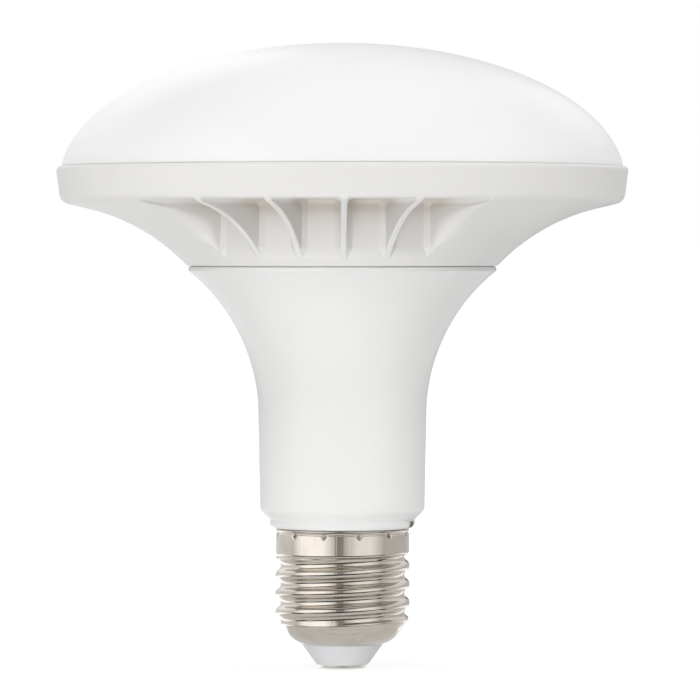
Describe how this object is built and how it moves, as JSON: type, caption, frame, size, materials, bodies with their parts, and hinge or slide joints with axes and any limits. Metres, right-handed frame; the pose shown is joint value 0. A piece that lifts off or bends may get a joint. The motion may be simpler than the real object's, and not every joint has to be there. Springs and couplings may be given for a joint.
{
  "type": "led bulb",
  "caption": "Wide-headed screw-cap LED bulb: shallow opal dome, broad rim, flared collar with recessed cooling fins, waisted neck and threaded nickel cap.",
  "frame": {"origin": "centre of the end contact's face, on the bulb's axis", "axes": "+Z along the bulb's axis from the contact to the dome; -Y towards the middle of the front window of fins"},
  "size_m": [0.1116, 0.1116, 0.1221],
  "materials": {
    "opal_plastic": "satin opal",
    "collar_plastic": "satin moulded",
    "neck_plastic": "satin moulded",
    "nickel_plate": "nickel plated, rolled",
    "insulator_plastic": "moulded",
    "contact_metal": "nickel plated",
    "tinned_copper": "tinned wire",
    "spreader_metal": "pressed sheet",
    "board_white": "white solder mask",
    "led_phosphor": "phosphor gel",
    "screw_steel": "zinc plated",
    "board_green": "solder mask",
    "can_sleeve": "shrink sleeve",
    "film_box": "moulded box",
    "ferrite": "sintered",
    "bobbin_plastic": "moulded",
    "copper_winding": "enamelled wire",
    "resistor_coat": "dipped coat",
    "disc_coat": "dipped coat",
    "package_black": "moulded epoxy",
    "lead_live": "insulated wire",
    "lead_positive": "insulated wire",
    "lead_negative": "insulated wire"
  },
  "bodies": {
    "root": {"diffuser_dome": "opal_plastic", "finned_collar": "collar_plastic", "neck_housing": "neck_plastic", "cap_shell": "nickel_plate", "cap_insulator": "insulator_plastic", "centre_contact": "contact_metal", "neutral_lead": "tinned_copper", "heat_spreader": "spreader_metal", "led_board": "board_white", "led_chips": "led_phosphor", "board_screws": "screw_steel", "driver_board": "board_green", "bulk_capacitor": "can_sleeve", "film_capacitor": "film_box", "transformer_core": "ferrite", "transformer_bobbin": "bobbin_plastic", "transformer_winding": "copper_winding", "fuse_resistor": "resistor_coat", "surge_disc": "disc_coat", "bridge_rectifier": "package_black", "driver_chip": "package_black", "output_diode": "package_black", "live_lead": "lead_live", "led_lead_positive": "lead_positive", "led_lead_negative": "lead_negative"}
  },
  "joints": []
}
